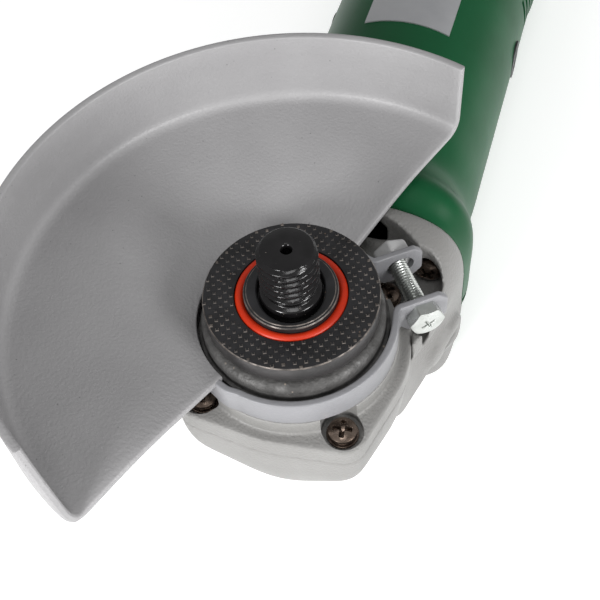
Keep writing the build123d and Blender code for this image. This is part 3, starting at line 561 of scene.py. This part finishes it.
def bandSurface(b):
    # the ears' plan line (out, round, out) with a rounded strip section standing on it
    startX = math.sqrt(b["radius"] ** 2 - b["earY"] ** 2)
    startAngle = math.atan2(b["earY"], startX)
    angle = np.linspace(startAngle, turn - startAngle, 220)
    world = np.degrees((angle + earAngle + math.pi) % turn - math.pi)
    # where it lies under the guard's plate the strap steps out by the joggle
    guardSide = smoothStep(b["joggleTo"], b["joggleFrom"], world) * (world < 0) + (world > b["joggleEnd"])
    radius = b["radius"] + b["joggle"] * np.clip(guardSide, 0, 1)
    hoop = np.stack([radius * np.cos(angle), radius * np.sin(angle)], axis=-1)
    ear = np.stack([np.linspace(b["reach"], startX + b["bend"], 26), np.full(26, b["earY"])], axis=-1)
    bendIn = roundCorners([ear[-1], (startX + 0.3, b["earY"]), hoop[6]], b["bend"], 8)[1:-1]
    bendOut = (bendIn * (1, -1))[::-1]
    path = np.concatenate([ear, bendIn, hoop[7:-7], bendOut, (ear * (1, -1))[::-1]])
    along = np.gradient(path, axis=0)
    along /= np.linalg.norm(along, axis=1)[:, None]
    normal = np.stack([-along[:, 1], along[:, 0]], axis=-1)
    isEar = path[:, 0] > startX + 0.2
    drop = smoothStep(startX + 1.6, startX + 3.2, path[:, 0]) * isEar
    cut = np.clip(path[:, 0] - (b["reach"] - b["chamfer"]), 0, None) * isEar
    top = b["top"] - cut
    low = b["low"] + (b["earLow"] - b["low"]) * drop + cut
    half, tall = b["thick"] / 2, 7
    corner = roundCorners([(-half, 0), (half, 0), (half, tall), (-half, tall)], b["edge"], 4, closed=True)
    u, w = corner[:, 0], corner[:, 1] / tall
    # the two cut ends of the strip are a little smaller than the rest, so their edges are soft
    scale = np.ones(len(path))
    scale[[0, -1]] = 0.86
    plan = path[:, None] + normal[:, None] * (u[None, :, None] * scale[:, None, None])
    z = low[:, None] + (top - low)[:, None] * w
    z = (z - (top + low)[:, None] / 2) * (0.3 + 0.7 * scale)[:, None] ** 0.15 + (top + low)[:, None] / 2
    grid = np.concatenate([plan, z[..., None]], axis=-1)
    points, faces = tubeSurface(grid)
    return placed(points, axes((0, 0, 0), (math.cos(earAngle), math.sin(earAngle), 0), (0, 0, 1))), faces


def slotCutter(centre, xAxis, zAxis, radius, stretch, depth, steps=40):
    # a stadium hole's solid: a circle pulled apart by `stretch` along its X
    t = np.arange(steps) * turn / steps
    x = radius * np.cos(t) + stretch / 2 * np.sign(np.cos(t))
    ring = np.stack([x, radius * np.sin(t), np.zeros(steps)], axis=-1)
    grid = np.stack([ring + (0, 0, -depth / 2), ring + (0, 0, depth / 2)])
    points, faces = tubeSurface(grid)
    return placed(points, axes(centre, xAxis, zAxis)), faces


bolt = dict(x=29.93, z=-14.0, radius=2.3, pitch=0.8, depth=0.5, headFlats=4.0, cornerShare=1.12,
            chamferShare=0.84, headHeight=3.4, cross=(0.34, 1.9, 1.1), length=20.6, hole=2.8, slot=1.6)
outward = np.array((math.cos(earAngle), math.sin(earAngle), 0))
sideways = np.array((-math.sin(earAngle), math.cos(earAngle), 0))
boltMiddle = outward * bolt["x"] + np.array((0, 0, bolt["z"]))
nutSide, headSide = boltMiddle + sideways * band["earY"], boltMiddle - sideways * band["earY"]
earHoles = [slotCutter(nutSide + outward * 0.6, outward, sideways, bolt["hole"], bolt["slot"], 6.0),
            slotCutter(headSide, outward, sideways, bolt["hole"], 0.0, 6.0)]
addPiece("guardBand", *bandSurface(band), "guard", "bandGrey", ("guard_band",), 42, earHoles)
print("guard done")


def crossRecess(x, y, width, reach, depth):
    # two crossed slots, deepest in the middle: depth times a soft mask of |x| or |y| under the width
    away = np.minimum(np.abs(x), np.abs(y))
    far = np.maximum(np.abs(x), np.abs(y))
    mask = (1 - smoothStep(width * 0.8, width * 1.15, away)) * (1 - smoothStep(reach * 0.86, reach, far))
    return depth * mask * (1.15 - 0.5 * far / reach)


def headRows(outline, height, count, cross, chamferFrom=None, dome=0.0):
    # rings s * outline out to the rim, at the height less a dome, a cone past chamferFrom, and the recess
    s = np.linspace(0.02, 1, count)[:, None]
    t = np.arange(outline.shape[0]) * turn / outline.shape[0]
    r = s * outline[None]
    x, y = r * np.cos(t), r * np.sin(t)
    z = height - dome * (r / outline.max()) ** 2.6
    if chamferFrom:
        z = z - np.clip(r - chamferFrom, 0, None) * 0.5
    z = z - crossRecess(x, y, *cross)
    return np.stack([x, y, z], axis=-1)


def hexOutline(half, steps=144):
    # the distance to a hexagon's side: half / cos of the angle to the nearest flat
    t = np.arange(steps) * turn / steps
    return half / np.cos((t + turn / 12) % (turn / 6) - turn / 12)


def threadRows(high, low, crest, pitch, depth, perTurn, steps=144):
    # rows of threadRadius from high to low, `perTurn` of them for each pitch
    rows = int(abs(high - low) / pitch * perTurn)
    z = np.linspace(high, low, rows)
    t = np.arange(steps) * turn / steps
    r = threadRadius(z[:, None], t[None], crest, pitch, depth)
    # the last turn tapers off towards the end
    r = np.minimum(r, crest - 0.8 + np.abs(z[:, None] - low))
    return turnedGrid(r, z, steps)


def boltSurface(b):
    # a chamfered hexagon head with a cross recess, its side, its underside and the threaded shank
    flats = b["headFlats"]
    outline = np.minimum(hexOutline(flats), flats * b["cornerShare"])
    head = headRows(outline, b["headHeight"], 60, b["cross"], flats * b["chamferShare"])
    rim = circleAt(outline, 0, len(outline))
    side = np.stack([rim + (0, 0, 0.35), rim + (0, 0, 0.05)])
    under = np.stack([rim * 0.97, rim * (b["radius"] / flats * 0.86)])
    shank = threadRows(-0.4, -b["length"], b["radius"], b["pitch"], b["depth"], 7)
    grid = np.concatenate([head, side, under, shank])
    return tubeSurface(grid)


nut = dict(half=4.3, cornerShare=1.12, height=4.2, bore=2.45)


def nutSurface(n):
    # a hexagon with worn corners, softer at its outer face: rows of outline * share at each height
    height, bore = n["height"], n["bore"]
    outline = np.minimum(hexOutline(n["half"], 120), n["half"] * n["cornerShare"])
    rows = [(bore, 0.3), (bore + 0.3, 0), (outline * 0.96, 0), (outline * 0.995, 0.2), (outline, 0.5),
            (outline, height - 1.3), (outline * 0.985, height - 0.8), (outline * 0.94, height - 0.35),
            (outline * 0.87, height - 0.08), (outline * 0.8, height),
            (bore + 0.3, height), (bore, height - 0.3)]
    grid = np.stack([circleAt(radius, z) for radius, z in rows])
    return grid.reshape(-1, 3), [gridFaces(len(grid), 120, wrapRows=True)]


earFace = band["earY"] + band["thick"] / 2
boltFrame = axes(boltMiddle - sideways * earFace, outward + 0.5 * np.array((0, 0, 1)), -sideways)
points, faces = boltSurface(bolt)
addPiece("clampBolt", placed(points, boltFrame), faces, "guard", "zinc", ("clamp_bolt",), 38)
nutFrame = axes(boltMiddle + sideways * earFace, outward + 0.2 * np.array((0, 0, 1)), sideways)
points, faces = nutSurface(nut)
addPiece("clampNut", placed(points, nutFrame), faces, "guard", "nut_grey", ("clamp_nut",), 35)

panScrew = dict(head=3.4, height=2.6, dome=1.0, cross=(0.52, 2.35, 1.8))
washer = dict(outer=3.9, thick=0.8, gap=6.0, rise=0.12, clearance=0.15)


def panScrewSurface(s, shank, length, pitch):
    # a domed head with a cross recess, its side and underside, and the threaded shank
    outline = np.full(120, s["head"])
    head = headRows(outline, s["height"], 54, s["cross"], None, s["dome"])
    rim = s["height"] - s["dome"]
    rows = [(s["head"] + 0.02, rim - 0.25), (s["head"], 0.25), (s["head"] - 0.2, 0.0), (shank, 0.0)]
    side = np.stack([circleAt(radius, z) for radius, z in rows])
    grid = np.concatenate([head, side, threadRows(-0.3, -length, shank, pitch, pitch * 0.5, 5, 120)])
    return tubeSurface(grid)


def springWasher(w, inner):
    # a split ring: a square section carried round, lifted by the cosine of half the angle
    outer, thick, gap = w["outer"], w["thick"], w["gap"]
    t = np.radians(np.linspace(gap, 360 - gap, 70))[:, None]
    corner = roundCorners([(inner, 0), (outer, 0), (outer, thick), (inner, thick)], 0.15, 3, closed=True)
    r, z = corner[:, 0][None], corner[:, 1][None] + w["rise"] * np.cos(t / 2)
    grid = np.stack([r * np.cos(t), r * np.sin(t), np.broadcast_to(z, (len(t), len(corner)))], axis=-1)
    return tubeSurface(grid)


def screwSet(names, replacedNodes, frames, shank, length, pitch):
    # a screw on its washer in each frame, each turned differently by whoever tightened it
    screws, washers = [], []
    for k, matrix in enumerate(frames):
        spin = np.eye(4)
        a = math.radians(23 + 37 * k)
        spin[:2, :2] = [[math.cos(a), -math.sin(a)], [math.sin(a), math.cos(a)]]
        points, faces = panScrewSurface(panScrew, shank, length, pitch)
        screws.append((placed(points + (0, 0, washer["thick"]), matrix @ spin), faces))
        points, faces = springWasher(washer, shank + washer["clearance"])
        washers.append((placed(points, matrix @ spin), faces))
    for name, node, parts in zip(names, replacedNodes, (screws, washers)):
        addPiece(name, *merged(parts), "root", "screw_bronze", (node,), 45)


def screwFrames(zAxis, washerNode):
    # the four corners of a group of screws, from the box of its washers
    low, high = [np.array(corner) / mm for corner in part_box(washerNode)]
    inset = 3.9 if abs(zAxis[2]) > 0 else 4.0
    frames = []
    if abs(zAxis[2]) > 0:
        for x in (low[0] + inset, high[0] - inset):
            for y in (low[1] + inset, high[1] - inset):
                frames.append(axes((x, y, low[2]), (1, 0, 0), zAxis))
    else:
        for x in (low[0] + inset, high[0] - inset):
            for z in (low[2] + inset, high[2] - inset):
                frames.append(axes((x, high[1], z), (1, 0, 0), zAxis))
    return frames


screwSet(("glandScrews", "glandSpringWashers"), ("gland_screws", "gland_screw_washers"),
         screwFrames((0, 0, 1), "gland_screw_washers"), shank=2.45, length=14.5, pitch=0.8)
screwSet(("housingScrews", "housingSpringWashers"), ("housing_screws", "housing_screw_washers"),
         screwFrames((0, -1, 0), "housing_screw_washers"), shank=1.95, length=23.5, pitch=1.2)
print("fasteners done")

# the gland: a turned casting whose plate runs out to its four screw corners
glandShape = dict(neck=22.0, neckTop=-6.5, seat=22.92, seatTop=-11.5, step=25.2, stepTop=-17.0,
                  plateTop=-21.5, plate=28.2, low=-27.0, cornerX=17.5, cornerY=20.2, corner=6.2, bore=9.6,
                  innerTop=-9.0, innerWall=16.2, pocket=4.9, pocketStretch=1.0, pocketFloor=-24.0,
                  bareAbove=-16.6, steps=288)


def glandOutline(g, t):
    # the hull of the boss circle and the four corner circles: its reach along t is the least support / cos
    phi = np.arange(720) * turn / 720
    support = np.full(720, g["plate"])
    for x in (-g["cornerX"], g["cornerX"]):
        for y in (-g["cornerY"], g["cornerY"]):
            support = np.maximum(support, x * np.cos(phi) + y * np.sin(phi) + g["corner"])
    facing = np.cos(t[:, None] - phi[None])
    return np.where(facing > 0.2, support[None] / facing.clip(0.2), 1000.0).min(axis=1)


def glandSurface(g):
    # a turned profile whose plate rows follow the outline instead of a circle
    t = np.arange(g["steps"]) * turn / g["steps"]
    corners = [(g["bore"], g["innerTop"]), (g["bore"], g["neckTop"]), (g["neck"], g["neckTop"]),
               (g["neck"], g["seatTop"]), (g["seat"], g["seatTop"]), (g["seat"], g["stepTop"]),
               (g["step"], g["stepTop"]), (g["step"], g["plateTop"]), (g["plate"], g["plateTop"]),
               (g["plate"], g["low"]), (g["innerWall"], g["low"]), (g["innerWall"], g["innerTop"])]
    radii = (0.3, 0.3, 2.4, 0.5, 0.2, 0.6, 0.6, 0.9, 0.9, 0.1, 0.3, 0.3)
    profile = roundCorners(corners, radii, 6, closed=True)
    profile = np.concatenate([profile, profile[:1]])
    counts = np.ceil(np.linalg.norm(np.diff(profile, axis=0), axis=1) / 1.2).astype(int)
    profile = np.concatenate([np.linspace(a, b, n + 1)[:-1] for a, b, n in zip(profile, profile[1:], counts)])
    r, z = profile[:, :1], profile[:, 1:]
    share = np.clip((r - g["step"] - 0.1) / (g["plate"] - g["step"] - 0.1), 0, 1) * (z < g["plateTop"] + 0.01)
    radius = r + (glandOutline(g, t)[None] - g["plate"]) * share
    grid = turnedGrid(radius, z[:, 0], g["steps"])
    return grid.reshape(-1, 3), [gridFaces(len(profile), g["steps"], wrapRows=True)]


screwPockets = [slotCutter((x, y, glandShape["pocketFloor"] + 5), (x, y, 0), (0, 0, 1), glandShape["pocket"],
                           glandShape["pocketStretch"], 10)
                for x in (-glandShape["cornerX"], glandShape["cornerX"])
                for y in (-glandShape["cornerY"], glandShape["cornerY"])]
gland = addPiece("packingGland", *glandSurface(glandShape), "root", ("cast_grey", "bareCast"),
                 ("packing_gland",), 42, screwPockets)
# the neck is bare metal and the rest painted
bare = faceCentres(gland)[:, 2] > glandShape["bareAbove"]
gland.data.polygons.foreach_set("material_index", bare.astype(np.int32))

# the gear case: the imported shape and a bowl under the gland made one, with an even, soft-edged skin
caseBowl = dict(low=-27.0, height=43.0, proud=0.15, fadeFrom=8.0, fadeTo=34.0, wall=0.86, chamber=24.0,
                chamberLow=-43.0, steps=200, rows=50)
caseSkin = dict(voxel=0.6, softenPasses=2,
                flank=25.0, flankY=11.0, flankWidth=9.0, flankShare=0.62, flankFrom=-26.0, flankTo=-31.0,
                shoulder=31.0, shoulderKeep=0.2, shoulderFrom=-42.0, shoulderTo=-56.0,
                lugFrom=23.5, lugTo=31.0,
                foldFrom=-29.0, foldTo=-36.0, foldEndFrom=26.0, foldEndTo=37.0, foldPasses=60)


def bowlSurface(b):
    # an elliptical bowl whose plan runs from the gland's outline at its rim to a circle lower down
    t = np.arange(b["steps"]) * turn / b["steps"]
    depth = np.linspace(0, 0.9995, b["rows"])[:, None] * b["height"]
    around = np.arange(glandShape["steps"]) * turn / glandShape["steps"]
    plan = np.interp(t, around, glandOutline(glandShape, around), period=turn)
    fade = smoothStep(b["fadeFrom"], b["fadeTo"], depth)
    shrink = np.sqrt(1 - (depth / b["height"]) ** 2)
    outer = shrink * ((plan[None] + b["proud"]) * (1 - fade) + glandShape["plate"] * fade)
    z = np.broadcast_to(b["low"] - depth, outer.shape)
    inner = outer * b["wall"]
    inner = np.where(z > b["chamberLow"], np.maximum(inner, b["chamber"]), inner)
    outside = np.stack([outer * np.cos(t), outer * np.sin(t), z], axis=-1)
    inside = np.stack([inner * np.cos(t), inner * np.sin(t), b["low"] + (z - b["low"]) * 0.92], axis=-1)
    grid = np.concatenate([outside, inside[::-1]])
    return grid.reshape(-1, 3), [gridFaces(b["rows"] * 2, b["steps"], wrapRows=True)]


def drawnIn(spots, c):
    # two pulls towards the axis: x on the flanks in front of the handle bosses, by a bell of y,
    # and the distance from the motor axis below it, in front of the screw lugs
    spots = spots.copy()
    side = np.abs(spots[:, 0])
    bell = np.exp(-((spots[:, 1] - c["flankY"]) / c["flankWidth"]) ** 2)
    pinch = bell * smoothStep(c["flankFrom"], c["flankTo"], spots[:, 2]) * (side > c["flank"])
    past = (side - c["flank"]) * (1 - c["flankShare"] * pinch)
    spots[:, 0] = np.sign(spots[:, 0]) * np.where(side > c["flank"], c["flank"] + past, side)
    reach = np.hypot(spots[:, 0], spots[:, 2] - motorZ)
    kept = np.where(reach > c["shoulder"], c["shoulder"] + (reach - c["shoulder"]) * c["shoulderKeep"], reach)
    share = smoothStep(c["shoulderFrom"], c["shoulderTo"], spots[:, 2])
    share = share * (1 - smoothStep(c["lugFrom"], c["lugTo"], spots[:, 1]))
    scale = 1 + (kept / np.maximum(reach, 1e-6) - 1) * share
    spots[:, 0] = spots[:, 0] * scale
    spots[:, 2] = motorZ + (spots[:, 2] - motorZ) * scale
    return spots


def castCopy(node, name, c, finish, added):
    # the node's shape and an added surface, rebuilt from even voxels and softened as a casting's edges are
    piece = linked(name, *added)
    work = bmesh.new()
    work.from_mesh(nodes[node].data)
    work.from_mesh(piece.data)
    bmesh.ops.remove_doubles(work, verts=work.verts, dist=1e-6)
    work.to_mesh(piece.data)
    work.free()
    remesh = piece.modifiers.new("voxels", "REMESH")
    remesh.mode = "VOXEL"
    remesh.voxel_size = c["voxel"] * mm
    soften = piece.modifiers.new("soften", "SMOOTH")
    soften.factor = 0.5
    soften.iterations = c["softenPasses"]
    applied(piece)
    spots = np.zeros(len(piece.data.vertices) * 3)
    piece.data.vertices.foreach_get("co", spots)
    spots = drawnIn(spots.reshape(-1, 3) / mm, c)
    piece.data.vertices.foreach_set("co", (spots * mm).ravel())
    # the folds below the gland are blended further, in ten steps of weight
    weight = smoothStep(c["foldFrom"], c["foldTo"], spots[:, 2])
    weight = weight * (1 - smoothStep(c["foldEndFrom"], c["foldEndTo"], spots[:, 1]))
    group = piece.vertex_groups.new(name="folds")
    for level in np.linspace(0.1, 1, 10):
        members = np.flatnonzero((weight > level - 0.1) & (weight <= level)).tolist()
        group.add(members, float(level), "REPLACE")
    blend = piece.modifiers.new("blend", "SMOOTH")
    blend.factor = 0.5
    blend.iterations = c["foldPasses"]
    blend.vertex_group = "folds"
    applied(piece)
    print(name, len(piece.data.polygons), "faces")
    return dress(piece, "root", finish, (node,), 180)


castCopy("gear_case", "gearCase", caseSkin, "cast_grey", bowlSurface(caseBowl))
print("castings done")


# camera place and look-at point in millimetres, roll in degrees
camera = dict(place=(53.74, -127.85, 196.14), lookAt=(2.58, -1.44, 0.0), roll=-5.865, lens=62.5)
# azimuth 0 is in front of the tool and 90 to its right; distances and sizes in metres, power in watts
lights = [
    dict(name="frontLeft", azimuth=-18, elevation=20, distance=0.95, size=0.3, power=8.2),
    dict(name="frontRight", azimuth=66, elevation=22, distance=0.95, size=0.3, power=6.4),
    dict(name="overhead", azimuth=20, elevation=70, distance=1.1, size=0.4, power=2.0),
]


def aimed(place, target, roll=0.0):
    # a matrix at place whose -Z points at the target and whose X is level, then rolled
    forward = (Vector(target) - Vector(place)).normalized()
    right = forward.cross(Vector((0, 0, 1))).normalized()
    up = right.cross(forward)
    turned = right * math.cos(roll) + up * math.sin(roll)
    up = turned.cross(forward)
    matrix = Matrix((turned, up, -forward)).transposed().to_4x4()
    matrix.translation = Vector(place)
    return matrix


view = bpy.data.cameras.new("camera")
view.lens = camera["lens"]
view.sensor_width = 36
view.clip_start, view.clip_end = 0.01, 20
cameraObject = bpy.data.objects.new("camera", view)
bpy.context.scene.collection.objects.link(cameraObject)
cameraObject.matrix_world = aimed(Vector(camera["place"]) * mm, Vector(camera["lookAt"]) * mm,
                                  math.radians(camera["roll"]))
bpy.context.scene.camera = cameraObject

for spec in lights:
    lamp = bpy.data.lights.new(spec["name"], "AREA")
    lamp.energy, lamp.size = spec["power"], spec["size"]
    azimuth, elevation = math.radians(spec["azimuth"]), math.radians(spec["elevation"])
    place = Vector((math.sin(azimuth) * math.cos(elevation), -math.cos(azimuth) * math.cos(elevation),
                    math.sin(elevation))) * spec["distance"]
    lampObject = bpy.data.objects.new(spec["name"], lamp)
    bpy.context.scene.collection.objects.link(lampObject)
    lampObject.matrix_world = aimed(place, (0, 0.02, -0.02))

world = bpy.data.worlds.new("studio")
bpy.context.scene.world = world
world.use_nodes = True
world.node_tree.nodes["Background"].inputs["Color"].default_value = (1, 1, 1, 1)
world.node_tree.nodes["Background"].inputs["Strength"].default_value = 0.36
bpy.context.scene.view_settings.view_transform = "Standard"

floorMesh = bpy.data.meshes.new("floor")
reach = 3.0
corners = [(-reach, -reach, floorZ), (reach, -reach, floorZ), (reach, reach, floorZ), (-reach, reach, floorZ)]
floorMesh.from_pydata(corners, [], [(0, 1, 2, 3)])
floor = bpy.data.objects.new("floor", floorMesh)
bpy.context.scene.collection.objects.link(floor)
paper = makeFinish("paper", dict(base=(0.97, 0.97, 0.97, 1), tint=(0.96, 0.96, 0.96, 1), mottle=3, grain=60,
                                 bump=0.00002, rough=0.9, spread=0.05, glow=0.35))
floorMesh.materials.append(paper)
print("stage done")
